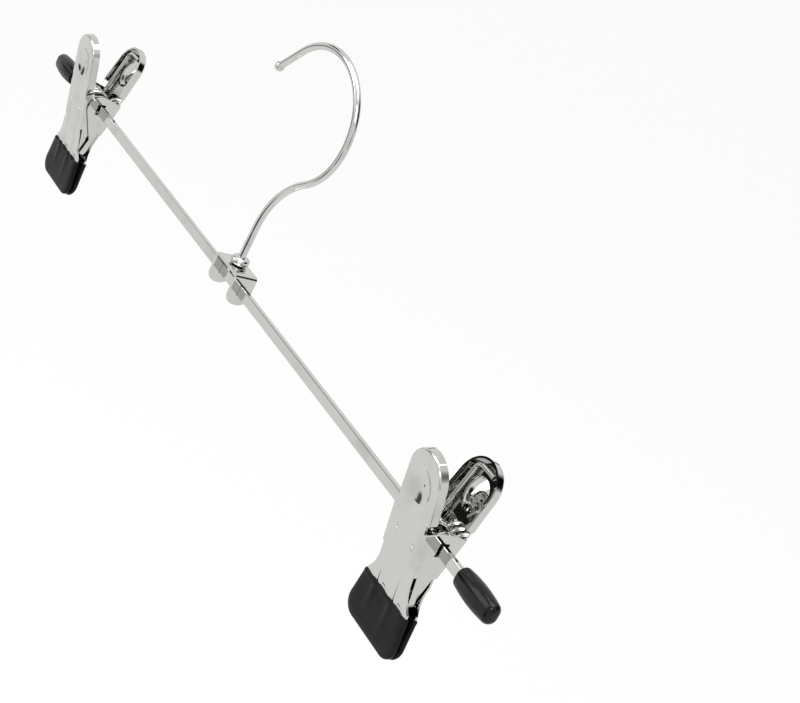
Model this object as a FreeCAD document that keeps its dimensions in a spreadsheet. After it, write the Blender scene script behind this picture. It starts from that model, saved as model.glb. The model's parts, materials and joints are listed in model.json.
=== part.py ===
import FreeCAD, Part
import math
import os
from types import SimpleNamespace

import Sketcher
from FreeCAD import Vector

# A chromed skirt hanger: a flat bar on edge with a swivelling wire hook in a bent bracket,
# two sprung clips that slide on the bar, and a moulded cap on each end of it.
# The origin is the point inside the hook's loop where a rail carries the hanger.
# +X runs along the bar, +Z is up, and all lengths are in millimetres.

SIZES = {
    # Bar and end caps
    "bar_length": 304.0,
    "bar_height": 3.2,
    "bar_thickness": 1.6,
    "bar_edge_radius": 0.35,
    "cap_length": 15.5,
    "cap_depth": 11.0,
    "cap_belly_place": 7.4,
    "cap_height": 6.8,
    "cap_thickness": 5.4,
    "cap_mouth_height": 5.6,
    "cap_mouth_thickness": 4.4,
    "cap_nose_height": 5.4,
    "cap_nose_thickness": 4.2,
    "cap_nose_radius": 1.9,
    "cap_mouth_radius": 0.6,
    "cap_fit": 0.05,
    # Bracket that carries the hook
    "bracket_length": 14.4,
    "bracket_width": 7.2,
    "bracket_sheet": 1.0,
    "bracket_rise": 3.9,
    "bracket_drop": 4.6,
    "bracket_foot_radius": 3.0,
    "bracket_bend_radius": 1.3,
    "bracket_slot_fit": 0.05,
    # Hook
    "hook_wire": 2.2,
    "hook_turn": 6.0,
    "hook_loop_radius": 19.8,
    "hook_loop_height": 54.1,
    "hook_neck_radius": 25.0,
    "hook_loop_end": 140.0,
    "hook_tip_run": 10.0,
    "hook_ball": 3.0,
    "hook_swivel_play": 0.06,
    "hook_head_diameter": 5.0,
    "hook_head_height": 1.3,
    "hook_seat_play": 0.1,
    "shoulder_diameter": 5.8,
    "shoulder_height": 2.6,
    # Clip plates
    "clip_end_gap": 9.9,
    "plate_sheet": 0.6,
    "plate_tilt": 12.8,
    "plate_stand_off": 5.8,
    "tab_top": 23.2,
    "tab_half_width": 7.2,
    "rim_depth": 2.6,
    "rim_foot": 7.0,
    "rim_foot_half_width": 7.6,
    "rim_bend_radius": 0.5,
    "ear_half_span": 8.1,
    "ear_gap": 0.3,
    "ear_radius": 4.5,
    "ear_slot_play": 0.25,
    "ear_lower_angle": 45.0,
    "open_angle": 14.0,
    "strip_width": 1.8,
    "strip_slit": 1.1,
    "strip_top": 7.8,
    "strip_neck": 10.8,
    "strip_end": 16.6,
    "waist_half_width": 7.5,
    "flare_start": 10.5,
    "flare_end": 17.6,
    "jaw_bend": 10.0,
    "jaw_half_width": 10.3,
    "jaw_end_half_width": 11.4,
    "jaw_corner_radius": 3.6,
    "jaw_end": 31.2,
    "dimple_height": 13.8,
    "dimple_radius": 4.7,
    "dimple_depth": 1.0,
    "rib_place": 4.1,
    "rib_width": 2.8,
    "rib_proud": 0.4,
    "rib_start": 2.4,
    "rib_start_width": 1.2,
    "rib_start_proud": 0.08,
    "rib_sink": 0.2,
    "mark_place": 4.1,
    "mark_drop": 0.9,
    "mark_diameter": 1.3,
    "mark_depth": 0.35,
    # Dipped tips
    "tip_wall": 0.35,
    "tip_top": 18.7,
    "tip_fit": 0.05,
    "tip_edge_radius": 0.4,
    # Torsion springs
    "spring_wire": 1.4,
    "spring_turns": 3,
    "spring_pitch": 2.4,
    "spring_leg_gap": 0.4,
    "spring_leg_height": 20.4,
    "spring_bend_radius": 1.9,
    "spring_cross_run": 7.2,
    "spring_least_gap": 0.4,
}


class Size:
    """A length or angle with its present number and the sheet expression that drives it."""

    def __init__(self, value, text):
        self.value = value
        self.text = text

    @staticmethod
    def of(thing):
        """Take a size as it is, and a plain number as a fixed size."""
        return thing if isinstance(thing, Size) else Size(thing, repr(thing))

    def _joined(self, other, sign, value):
        return Size(value, f"({self.text} {sign} {Size.of(other).text})")

    def __add__(self, other):
        return self._joined(other, "+", self.value + Size.of(other).value)

    def __sub__(self, other):
        return self._joined(other, "-", self.value - Size.of(other).value)

    def __mul__(self, other):
        return self._joined(other, "*", self.value * Size.of(other).value)

    def __truediv__(self, other):
        return self._joined(other, "/", self.value / Size.of(other).value)

    def __neg__(self):
        return Size(-self.value, f"(-{self.text})")


def sine(angle):
    """Sine of an angle in degrees."""
    return Size(math.sin(math.radians(angle.value)), f"sin({angle.text})")


def cosine(angle):
    """Cosine of an angle in degrees."""
    return Size(math.cos(math.radians(angle.value)), f"cos({angle.text})")


def arc_cosine(ratio):
    """Angle in degrees whose cosine is the ratio."""
    return Size(math.degrees(math.acos(ratio.value)), f"acos({ratio.text}) / 1deg")


def arc_radius(half_chord, rise):
    """Radius of the arc that rises this far over a chord."""
    return (half_chord * half_chord + rise * rise) / (rise * 2)


doc = FreeCAD.newDocument("skirt_hanger")
sheet = doc.addObject("Spreadsheet::Sheet", "Sizes")
for row, (alias, number) in enumerate(SIZES.items(), start=1):
    sheet.set(f"A{row}", alias)
    sheet.set(f"B{row}", str(number))
    sheet.setAlias(f"B{row}", alias)
doc.recompute()

d = SimpleNamespace(**{alias: Size(number, f"Sizes.{alias}") for alias, number in SIZES.items()})

FRONT, REAR = -1, 1
LEFT, RIGHT = -1, 1
NOTHING = Size(0, "0")
HALF_TURN = Size(180, "180")
CENTRE = 3

# Sizes that follow from the driving ones
hook_wire_radius = d.hook_wire / 2
rail_height = d.hook_loop_height + d.hook_loop_radius - hook_wire_radius
plate_inside = d.plate_stand_off - d.plate_sheet
bar_half_height = d.bar_height / 2
bar_half_thickness = d.bar_thickness / 2
slot_half_height = (bar_half_height * cosine(d.open_angle) + bar_half_thickness * sine(d.open_angle)
                    + d.ear_slot_play)
slot_half_width = (bar_half_thickness * cosine(d.open_angle) + bar_half_height * sine(d.open_angle)
                   + d.ear_slot_play)
inner_ear_half_span = d.ear_half_span - d.plate_sheet - d.ear_gap
cap_mouth = d.bar_length / 2 - d.cap_depth
clip_place = cap_mouth - d.clip_end_gap - d.ear_half_span


def new_body(label):
    """Start a body whose label names the piece."""
    body = doc.addObject("PartDesign::Body", label)
    body.Label = label
    return body


def place(piece, x=NOTHING, z=NOTHING, axis=Vector(1, 0, 0), turn=NOTHING):
    """Put a piece at a point of the bar's axis, below the rail, turned about one axis."""
    height = z - rail_height
    piece.Placement = FreeCAD.Placement(Vector(x.value, 0, height.value),
                                        FreeCAD.Rotation(axis, turn.value))
    piece.setExpression("Placement.Base.x", x.text)
    piece.setExpression("Placement.Base.z", height.text)
    if turn.value:
        piece.setExpression("Placement.Rotation.Angle", turn.text)


def new_sketch(body, role, offset=NOTHING, up=NOTHING, turn=NOTHING, lean=NOTHING):
    """Start a sketch on one of the body's own planes, moved along its normal and up.

    It is turned within the plane, or leant about its own level axis.
    """
    axis, angle = (Vector(1, 0, 0), lean) if lean.value else (Vector(0, 0, 1), turn)
    plane = next(item for item in body.Origin.OriginFeatures if item.Role == role)
    sketch = body.newObject("Sketcher::SketchObject", f"{body.Name}_sketch")
    sketch.AttachmentSupport = (plane, [""])
    sketch.MapMode = "FlatFace"
    sketch.AttachmentOffset = FreeCAD.Placement(Vector(0, up.value, offset.value),
                                                FreeCAD.Rotation(axis, angle.value))
    sketch.setExpression("AttachmentOffset.Base.y", up.text)
    sketch.setExpression("AttachmentOffset.Base.z", offset.text)
    if angle.value:
        sketch.setExpression("AttachmentOffset.Rotation.Angle", angle.text)
    return sketch


def bind(sketch, kind, size, *where):
    """Add one constraint and drive it from the sheet."""
    index = sketch.addConstraint(Sketcher.Constraint(kind, *where, size.value))
    sketch.setExpression(f"Constraints[{index}]", size.text)


def pin_point(sketch, edge, end, point, directions=(0, 1)):
    """Hold one end of an edge, or an arc's centre, at a point given by two sizes."""
    for direction in directions:
        size = point[direction]
        if size is NOTHING:
            sketch.addConstraint(Sketcher.Constraint("PointOnObject", edge, end, direction - 2))
        else:
            bind(sketch, ("DistanceX", "DistanceY")[direction], size, -1, 1, edge, end)


def flat(point):
    """Present place of a sketch point."""
    return Vector(point[0].value, point[1].value, 0)


def outline(sketch, start, *runs, closed=True):
    """Draw straight runs and arcs from point to point, each point driven from the sheet.

    A run is a point, or a point with the arc's centre, radius and sense (1 anticlockwise).
    """
    here, last, first = start, None, None
    for run in runs:
        if len(run) == 2:
            there = run
            edge = sketch.addGeometry(Part.LineSegment(flat(here), flat(there)))
            ends = (1, 2)
        else:
            there, centre, radius, sense = run
            circle = Part.Circle(flat(centre), Vector(0, 0, 1), radius.value)
            begin, finish = (here, there) if sense > 0 else (there, here)
            arc = Part.ArcOfCircle(circle, circle.parameter(flat(begin)), circle.parameter(flat(finish)))
            edge = sketch.addGeometry(arc)
            ends = (1, 2) if sense > 0 else (2, 1)
            chord = flat(there) - flat(here)
            pin_point(sketch, edge, CENTRE, centre, directions=(int(abs(chord.x) > abs(chord.y)),))
        pin_point(sketch, edge, ends[0], here)
        if last:
            sketch.addConstraint(Sketcher.Constraint("Coincident", *last, edge, ends[0]))
        first = first or (edge, ends[0])
        here, last = there, (edge, ends[1])
    if closed:
        sketch.addConstraint(Sketcher.Constraint("Coincident", *last, *first))
    else:
        pin_point(sketch, *last, here)


def circle(sketch, centre, radius):
    """Draw a circle driven from the sheet."""
    edge = sketch.addGeometry(Part.Circle(flat(centre), Vector(0, 0, 1), radius.value))
    pin_point(sketch, edge, CENTRE, centre)
    bind(sketch, "Radius", radius, edge)


def extrude(body, kind, sketch, length, side="One side", back=False, other=NOTHING):
    """Add a pad or a pocket to a body, with another length on the far side where it has two."""
    feature = body.newObject(f"PartDesign::{kind}", f"{body.Name}_{kind.lower()}")
    feature.Profile = sketch
    feature.SideType = side
    feature.Reversed = back
    feature.Length = length.value
    feature.setExpression("Length", length.text)
    if other.value:
        feature.Length2 = other.value
        feature.setExpression("Length2", other.text)
    sketch.Visibility = False
    doc.recompute()
    return feature


def cut(body, sketch, length, side="One side", back=False, other=NOTHING):
    """Pocket a body and make sure that it lost material."""
    before = body.Shape.Volume
    feature = extrude(body, "Pocket", sketch, length, side, back, other)
    if body.Shape.Volume >= before:
        raise RuntimeError(f"{feature.Label} cuts nothing")
    return feature


def turn_round(body, kind, sketch, axis_name):
    """Add a full revolution or groove about one of the sketch's own axes."""
    feature = body.newObject(f"PartDesign::{kind}", f"{body.Name}_{kind.lower()}")
    feature.Profile = sketch
    feature.ReferenceAxis = (sketch, [axis_name])
    feature.Angle = 360
    doc.recompute()
    return feature


def mirror(body, feature):
    """Repeat a feature on the other side of the clip's middle."""
    plane = next(item for item in body.Origin.OriginFeatures if item.Role == "YZ_Plane")
    copy = body.newObject("PartDesign::Mirrored", f"{feature.Name}_mirrored")
    copy.Originals = [feature]
    copy.MirrorPlane = (plane, [""])
    body.Tip = copy
    doc.recompute()


def soften(body, radius, wanted):
    """Fillet the edges that a test picks out."""
    base = body.Tip
    names = [f"Edge{i}" for i, edge in enumerate(base.Shape.Edges, start=1) if wanted(edge)]
    fillet = body.newObject("PartDesign::Fillet", f"{body.Name}_fillet")
    fillet.Base = (base, names)
    fillet.Radius = radius.value
    fillet.setExpression("Radius", radius.text)
    doc.recompute()


def middle(edge):
    """Point halfway along an edge."""
    return edge.valueAt((edge.FirstParameter + edge.LastParameter) / 2)


def near(number, size):
    """Whether a coordinate has a size's value."""
    return abs(number - size.value) < 1e-4


def rectangle(sketch, half_width, half_height):
    """Draw a rectangle about the sketch's origin."""
    outline(sketch, (-half_width, -half_height), (half_width, -half_height), (half_width, half_height),
            (-half_width, half_height), (-half_width, -half_height))


def make_bar():
    """Flat steel strip on edge, with rolled corners."""
    body = new_body("bar")
    sketch = new_sketch(body, "YZ_Plane")
    rectangle(sketch, bar_half_thickness, bar_half_height)
    extrude(body, "Pad", sketch, d.bar_length, side="Symmetric")
    soften(body, d.bar_edge_radius, lambda edge: abs(edge.tangentAt(edge.FirstParameter).x) > 0.9)
    place(body)
    return body


def cap_section(body, along, height, thickness):
    """Upright oval of a cap at one place along it."""
    sketch = new_sketch(body, "YZ_Plane", offset=along)
    half = thickness / 2
    shoulder = height / 2 - half
    outline(sketch, (half, -shoulder), (half, shoulder),
            ((-half, shoulder), (NOTHING, shoulder), half, 1), (-half, -shoulder),
            ((half, -shoulder), (NOTHING, -shoulder), half, 1))
    sketch.Visibility = False
    return sketch


def make_cap(label, side):
    """Moulded cap pushed over one end of the bar: a narrow mouth, a full belly and a round nose."""
    body = new_body(label)
    nose = -d.cap_length
    form = body.newObject("PartDesign::AdditiveLoft", f"{label}_form")
    form.Profile = cap_section(body, NOTHING, d.cap_mouth_height, d.cap_mouth_thickness)
    form.Sections = [cap_section(body, -d.cap_belly_place, d.cap_height, d.cap_thickness),
                     cap_section(body, nose, d.cap_nose_height, d.cap_nose_thickness)]
    doc.recompute()
    soften(body, d.cap_nose_radius, lambda edge: near(middle(edge).x, nose))
    soften(body, d.cap_mouth_radius, lambda edge: near(middle(edge).x, NOTHING))
    socket = new_sketch(body, "YZ_Plane")
    rectangle(socket, bar_half_thickness + d.cap_fit, bar_half_height + d.cap_fit)
    cut(body, socket, d.cap_depth + d.cap_fit)
    place(body, x=cap_mouth * side, axis=Vector(0, 0, 1), turn=NOTHING if side == LEFT else HALF_TURN)
    return body


def make_bracket():
    """Bent saddle with a hook hole on top and a slotted, round-footed leg at each end."""
    body = new_body("centre_bracket")
    half = d.bracket_length / 2
    top = d.bracket_rise + d.bracket_sheet
    plate = new_sketch(body, "XY_Plane", offset=d.bracket_rise)
    rectangle(plate, half, d.bracket_width / 2)
    extrude(body, "Pad", plate, d.bracket_sheet)
    leg = new_sketch(body, "YZ_Plane", offset=half - d.bracket_sheet)
    side = d.bracket_width / 2
    foot = d.bracket_foot_radius
    outline(leg, (-side, top), (-side, foot - d.bracket_drop),
            ((foot - side, -d.bracket_drop), (foot - side, foot - d.bracket_drop), foot, 1),
            (side - foot, -d.bracket_drop),
            ((side, foot - d.bracket_drop), (side - foot, foot - d.bracket_drop), foot, 1),
            (side, top), (-side, top))
    mirror(body, extrude(body, "Pad", leg, d.bracket_sheet))
    soften(body, d.bracket_bend_radius,
           lambda edge: near(middle(edge).z, top) and near(abs(middle(edge).x), half))
    slot = new_sketch(body, "YZ_Plane")
    rectangle(slot, bar_half_thickness + d.bracket_slot_fit, bar_half_height + d.bracket_slot_fit)
    cut(body, slot, d.bracket_length * 2, side="Symmetric")
    hole = new_sketch(body, "XY_Plane", offset=top)
    circle(hole, (NOTHING, NOTHING), hook_wire_radius + d.hook_swivel_play)
    cut(body, hole, d.bracket_sheet)
    place(body)
    return body


def make_hook():
    """Wire hook: peened head, shank, shoulder, reversed neck, round loop and a straight balled tip."""
    body = new_body("hook")
    top = d.bracket_rise + d.bracket_sheet
    head_top = d.bracket_rise - d.hook_seat_play
    head_bottom = head_top - d.hook_head_height
    bend = arc_cosine(d.hook_neck_radius / (d.hook_neck_radius + d.hook_loop_radius))
    neck_start = d.hook_loop_height - (d.hook_neck_radius + d.hook_loop_radius) * sine(bend)
    joint = (d.hook_loop_radius * cosine(bend), d.hook_loop_height - d.hook_loop_radius * sine(bend))
    loop_end = (d.hook_loop_radius * cosine(d.hook_loop_end),
                d.hook_loop_height + d.hook_loop_radius * sine(d.hook_loop_end))
    tip = (loop_end[0] - d.hook_tip_run * sine(d.hook_loop_end),
           loop_end[1] + d.hook_tip_run * cosine(d.hook_loop_end))
    path = new_sketch(body, "XZ_Plane")
    outline(path, (NOTHING, head_bottom), (NOTHING, neck_start),
            (joint, (d.hook_neck_radius, neck_start), d.hook_neck_radius, -1),
            (loop_end, (NOTHING, d.hook_loop_height), d.hook_loop_radius, 1), tip, closed=False)
    section = new_sketch(body, "XY_Plane", offset=head_bottom)
    circle(section, (NOTHING, NOTHING), hook_wire_radius)
    doc.recompute()
    wire = body.newObject("PartDesign::AdditivePipe", "hook_wire")
    wire.Profile = section
    wire.Spine = (path, [])
    doc.recompute()
    head = new_sketch(body, "XY_Plane", offset=head_bottom)
    circle(head, (NOTHING, NOTHING), d.hook_head_diameter / 2)
    extrude(body, "Pad", head, d.hook_head_height)
    shoulder = new_sketch(body, "XZ_Plane")
    low = top + d.hook_seat_play
    high = low + d.shoulder_height
    core = hook_wire_radius / 2
    rise = d.shoulder_height / 2
    edge = d.shoulder_diameter / 2 - rise
    outline(shoulder, (core, low), (edge, low), ((edge, high), (edge, low + rise), rise, 1),
            (core, high), (core, low))
    turn_round(body, "Revolution", shoulder, "V_Axis")
    ball = new_sketch(body, "XZ_Plane", up=tip[1])
    ball_radius = d.hook_ball / 2
    outline(ball, (tip[0] - ball_radius, NOTHING),
            ((tip[0] + ball_radius, NOTHING), (tip[0], NOTHING), ball_radius, 1),
            (tip[0] - ball_radius, NOTHING))
    turn_round(body, "Revolution", ball, "H_Axis")
    place(body, axis=Vector(0, 0, 1), turn=d.hook_turn)
    return body


def tab_edge(inset):
    """Right foot, right shoulder and radius of the tab's edge, moved in by a wall."""
    foot = (d.rim_foot_half_width - inset, d.rim_foot)
    shoulder = (d.tab_half_width - inset, d.tab_top - d.tab_half_width)
    return foot, shoulder, d.tab_half_width - inset


def across(point):
    """The same point on the other side of the clip's middle."""
    return -point[0], point[1]


def draw_face(sketch, ear_span):
    """Flat blank of a clip plate down to the jaw's bend: rounded tab, eared waist and flare."""
    foot, shoulder, radius = tab_edge(NOTHING)
    crown = (NOTHING, shoulder[1])
    ear_top = (ear_span, d.ear_radius)
    ear_low = (ear_span, -d.strip_top)
    notch = (d.waist_half_width - d.plate_sheet, d.rim_foot)
    notch_low = (d.waist_half_width - d.plate_sheet, d.ear_radius)
    waist = (ear_span - d.plate_sheet, -d.strip_top)
    flare = (d.waist_half_width, -d.flare_start)
    jaw = (d.jaw_half_width, -d.flare_end)
    sweep = arc_radius(d.flare_end - d.flare_start, d.jaw_half_width - d.waist_half_width)
    sweep_centre = (d.waist_half_width + sweep, -d.flare_start)
    half = (notch, notch_low, ear_top, ear_low, waist, flare)
    outline(sketch, foot, shoulder, (across(shoulder), crown, radius, 1), across(foot),
            *(across(point) for point in half),
            (across(jaw), across(sweep_centre), sweep, -1), jaw,
            (flare, sweep_centre, sweep, -1), *reversed(half[:-1]), foot)


def draw_rim(sketch):
    """Band along the tab's edge that turns inwards as the tray's rim."""
    foot, shoulder, radius = tab_edge(NOTHING)
    inner_foot, inner_shoulder, inner_radius = tab_edge(d.plate_sheet)
    crown = (NOTHING, shoulder[1])
    outline(sketch, foot, shoulder, (across(shoulder), crown, radius, 1), across(foot),
            across(inner_foot), across(inner_shoulder),
            (inner_shoulder, crown, inner_radius, -1), inner_foot, foot)


def draw_ear(sketch, side):
    """Round ear about the pivot, drawn down into a narrow strip beside a slit."""
    def at(y, z):
        return y * -side, z

    face = -d.plate_stand_off
    strip_in = face + d.strip_slit + d.strip_width
    strip_out = face + d.strip_slit
    lower = at(d.ear_radius * cosine(d.ear_lower_angle), -d.ear_radius * sine(d.ear_lower_angle))
    outline(sketch, at(face, d.ear_radius), at(NOTHING, d.ear_radius),
            (lower, (NOTHING, NOTHING), d.ear_radius, side),
            at(strip_in, -d.strip_neck), at(strip_in, -d.strip_end), at(strip_out, -d.strip_end),
            at(strip_out, -d.strip_top), at(face, -d.strip_top), at(face, d.ear_radius))


def dish(sketch, face, side, radius, depth, sink):
    """Half section of a round dish that sinks from a face towards the inside."""
    curve = arc_radius(radius, depth)
    bottom = (face + depth) * -side
    middle_x = (face + depth - curve) * -side
    rim = (face * -side, radius)
    outline(sketch, (bottom, NOTHING), (rim, (middle_x, NOTHING), curve, -side),
            ((face - sink) * -side, radius), ((face - sink) * -side, NOTHING), (bottom, NOTHING))


def jaw_sketch(body, side, grow, top=NOTHING):
    """Outline of the jaw's end on its own leant plane, the inside of the sheet below the bend.

    It is grown all round and runs from a level below the bend down to the rounded corners.
    """
    sketch = new_sketch(body, "XZ_Plane", offset=plate_inside * -side, up=-d.flare_end,
                        lean=d.jaw_bend * side)
    reach = d.jaw_end - d.flare_end
    slope = (d.jaw_end_half_width - d.jaw_half_width) / (reach - d.jaw_corner_radius)
    corner = d.jaw_corner_radius + grow
    half_top = d.jaw_half_width + slope * top + grow
    half = d.jaw_end_half_width + grow
    level = -top if top.value else NOTHING
    low = d.jaw_corner_radius - reach
    bottom = -reach - grow
    inner = d.jaw_end_half_width - d.jaw_corner_radius
    outline(sketch, (-half_top, level), (-half, low), ((-inner, bottom), (-inner, low), corner, 1),
            (inner, bottom), ((half, low), (inner, low), corner, 1), (half_top, level), (-half_top, level))
    return sketch


def rib_section(body, side, drop, width, proud):
    """Low arched section of a jaw rib at one level, rooted in the sheet."""
    sketch = new_sketch(body, "XY_Plane", offset=-drop)
    half = width / 2
    curve = arc_radius(half, proud + d.rib_sink)
    chord = (d.plate_stand_off - d.rib_sink) * side
    centre = (d.plate_stand_off + proud - curve) * side
    outline(sketch, (d.rib_place - half, chord),
            ((d.rib_place + half, chord), (d.rib_place, centre), curve, -side), (d.rib_place - half, chord))
    sketch.Visibility = False
    return sketch


def make_plate(label, end, side, ear_span):
    """Stamped clip plate: rimmed tab with a finger dish, slotted ears, strips and a ribbed jaw."""
    body = new_body(label)
    front = side == FRONT
    plane = d.plate_stand_off * -side
    face = new_sketch(body, "XZ_Plane", offset=plane)
    draw_face(face, ear_span)
    extrude(body, "Pad", face, d.plate_sheet, back=front)
    extrude(body, "Pad", jaw_sketch(body, side, NOTHING), d.plate_sheet, back=not front)
    rim = new_sketch(body, "XZ_Plane", offset=plane)
    draw_rim(rim)
    extrude(body, "Pad", rim, d.rim_depth, back=front)
    soften(body, d.rim_bend_radius, lambda edge: near(abs(middle(edge).y), d.plate_stand_off)
           and middle(edge).z > d.rim_foot.value and not near(middle(edge).z, d.rim_foot))
    ear = new_sketch(body, "YZ_Plane", offset=ear_span - d.plate_sheet)
    draw_ear(ear, side)
    mirror(body, extrude(body, "Pad", ear, d.plate_sheet))
    slot = new_sketch(body, "YZ_Plane", turn=d.plate_tilt * side)
    rectangle(slot, slot_half_width, slot_half_height)
    cut(body, slot, d.ear_half_span * 3, side="Symmetric")
    bulge = new_sketch(body, "YZ_Plane", up=d.dimple_height)
    dish(bulge, -plate_inside, side, d.dimple_radius, d.dimple_depth, d.plate_sheet / 2)
    turn_round(body, "Revolution", bulge, "H_Axis")
    hollow = new_sketch(body, "YZ_Plane", up=d.dimple_height)
    dish(hollow, -d.plate_stand_off, side, d.dimple_radius, d.dimple_depth, d.plate_sheet / 2)
    turn_round(body, "Groove", hollow, "H_Axis")
    rib = body.newObject("PartDesign::AdditiveLoft", f"{body.Name}_rib")
    rib.Profile = rib_section(body, side, d.rib_start, d.rib_start_width, d.rib_start_proud)
    rib.Sections = [rib_section(body, side, d.tip_top - d.tip_wall, d.rib_width, d.rib_proud)]
    doc.recompute()
    mirror(body, rib)
    mark = new_sketch(body, "YZ_Plane", offset=d.mark_place, up=-d.mark_drop)
    dish(mark, -d.plate_stand_off, side, d.mark_diameter / 2, d.mark_depth, d.plate_sheet / 2)
    mirror(body, turn_round(body, "Groove", mark, "H_Axis"))
    place(body, x=clip_place * end, turn=d.plate_tilt * -side)
    return body


def make_tip(label, end, side):
    """Soft tip dipped over the end of one jaw."""
    body = new_body(label)
    front = side == FRONT
    top = d.tip_top - d.flare_end
    outer = jaw_sketch(body, side, d.tip_wall, top)
    extrude(body, "Pad", outer, d.plate_sheet + d.tip_wall, side="Two sides", back=not front,
            other=d.tip_wall)
    frame = outer.Placement.inverse()
    soften(body, d.tip_edge_radius, lambda edge: not near(frame.multVec(middle(edge)).y, -top)
           and abs(frame.Rotation.multVec(edge.tangentAt(edge.FirstParameter)).z) < 0.1)
    inner = jaw_sketch(body, side, d.tip_fit, top - d.tip_fit)
    cut(body, inner, d.plate_sheet + d.tip_fit, side="Two sides", back=front, other=d.tip_fit)
    place(body, x=clip_place * end, turn=d.plate_tilt * -side)
    return body


def arc_between(start, direction, finish):
    """Arc edge from a point with a given direction to another point."""
    chord = finish - start
    normal = chord - direction * chord.dot(direction)
    if normal.Length < 1e-9:
        return Part.LineSegment(start, finish).toShape()
    normal.normalize()
    radius = chord.dot(chord) / (2 * chord.dot(normal))
    centre = start + normal * radius
    halfway = (start + finish) / 2 - centre
    if direction.dot(chord) < 0:
        halfway = -halfway
    halfway.normalize()
    return Part.Arc(start, centre + halfway * radius, finish).toShape()


def biarc(start, along, finish, along_end):
    """Two arcs that join two points smoothly with given directions."""
    span = finish - start
    both = along + along_end
    bend = 1 - along.dot(along_end)
    reach = (-span.dot(both) + math.sqrt(span.dot(both) ** 2 + 2 * bend * span.dot(span))) / (2 * bend)
    joint = (start + finish + (along - along_end) * reach) / 2
    second = arc_between(finish, along_end * -1, joint)
    return [arc_between(start, along, joint), second]


def make_spring(label, end):
    """Torsion spring: a coil round the bar and two legs that press the tabs apart."""
    size = SimpleNamespace(**{alias: sheet.get(alias) for alias in SIZES})
    radius = (size.plate_stand_off - size.plate_sheet - size.spring_wire / 2 - size.spring_leg_gap)
    tilt = math.radians(size.plate_tilt)
    sweep = 2 * math.pi * size.spring_turns + math.pi - 2 * tilt
    climb = size.spring_pitch / (2 * math.pi)
    half_coil = sweep * climb / 2
    straight = size.spring_leg_height - size.spring_bend_radius

    def leg(side):
        """Points of one leg from the cut end to the coil, in the clip's frame."""
        x = -side * half_coil
        up = Vector(0, side * math.sin(tilt), math.cos(tilt))
        out = Vector(0, side * math.cos(tilt), -math.sin(tilt))
        foot = Vector(x, 0, 0) + out * radius
        inward = Vector(side, 0, 0)
        bend_start = foot + up * straight
        bend_end = bend_start + up * size.spring_bend_radius + inward * size.spring_bend_radius
        cut_end = bend_end + inward * (size.spring_cross_run - size.spring_bend_radius)
        return foot, up, bend_start, bend_end, inward, cut_end

    front_foot, front_up, front_bend, front_end, front_in, front_cut = leg(FRONT)
    rear_foot, rear_up, rear_bend, rear_end, rear_in, rear_cut = leg(REAR)

    def coil_point(turned):
        """Place and direction on the coil after turning on from the front leg."""
        angle = math.pi + tilt + turned
        spot = Vector(half_coil - climb * turned, radius * math.cos(angle), radius * math.sin(angle))
        heading = Vector(-climb, -radius * math.sin(angle), radius * math.cos(angle))
        heading.normalize()
        return spot, heading

    quarters = math.ceil(sweep / (math.pi / 2))
    stations = [coil_point(sweep * i / quarters) for i in range(quarters + 1)]
    stations[0] = (front_foot, front_up * -1)
    stations[-1] = (rear_foot, rear_up)
    edges = [Part.LineSegment(front_cut, front_end).toShape(),
             arc_between(front_end, front_in * -1, front_bend),
             Part.LineSegment(front_bend, front_foot).toShape()]
    for (spot, heading), (next_spot, next_heading) in zip(stations, stations[1:]):
        edges += biarc(spot, heading, next_spot, next_heading)
    edges += [Part.LineSegment(rear_foot, rear_bend).toShape(),
              arc_between(rear_bend, rear_up, rear_end),
              Part.LineSegment(rear_end, rear_cut).toShape()]
    path = Part.Wire(edges)
    section = Part.Wire(Part.Circle(front_cut, front_in, size.spring_wire / 2).toShape())
    pipe = Part.BRepOffsetAPI.MakePipeShell(path)
    pipe.add(section)
    pipe.build()
    pipe.makeSolid()
    spring = doc.addObject("Part::Feature", label)
    spring.Label = label
    spring.Shape = Part.Solid(pipe.shape())
    report_gap(label, path, size)
    place(spring, x=clip_place * end, axis=Vector(0, 0, 1), turn=NOTHING)
    return spring


def report_gap(label, path, size):
    """Measure on points how near the wire comes to itself, print it, and refuse a touch."""
    step = size.spring_wire / 4
    points = path.discretize(Distance=step)
    apart = int(math.pi * size.spring_wire / step)
    least = min((points[i] - points[j]).Length
                for i in range(len(points)) for j in range(i + apart, len(points)))
    gap = least - size.spring_wire
    print(f"{label}: least gap to itself {gap:.2f} mm, wire length {path.Length:.1f} mm")
    if gap <= size.spring_least_gap:
        raise RuntimeError(f"{label} runs too close to itself")


def make_clip(name, end):
    """One clip: the plate with the outer ears faces the front on the right and the rear on the left."""
    pieces = [make_spring(f"{name}_spring", end)]
    for word, side in (("front", FRONT), ("rear", REAR)):
        span = d.ear_half_span if side == -end else inner_ear_half_span
        pieces.append(make_plate(f"{name}_{word}_plate", end, side, span))
        pieces.append(make_tip(f"{name}_{word}_tip", end, side))
    return pieces


def write_pieces(pieces):
    """Check every object and piece, then write each piece to its own file."""
    doc.recompute()
    for item in doc.Objects:
        if "Invalid" in item.State or "Error" in item.State:
            raise RuntimeError(f"{item.Label} failed: {item.State}")
    for piece in pieces:
        if piece.Shape.isNull() or not piece.Shape.isValid() or len(piece.Shape.Solids) != 1:
            raise RuntimeError(f"{piece.Label} is not one valid solid")
    os.makedirs("parts", exist_ok=True)
    for piece in pieces:
        piece.Shape.exportStep(f"parts/{piece.Label}.step")
        print(f"{piece.Label}: {piece.Shape.Volume:.1f} mm3")


def main():
    """Build the hanger from the hook down."""
    pieces = [make_hook(), make_bracket(), make_bar()]
    pieces += [make_cap("left_end_cap", LEFT), make_cap("right_end_cap", RIGHT)]
    pieces += make_clip("left", LEFT)
    pieces += make_clip("right", RIGHT)
    write_pieces(pieces)


main()
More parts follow.
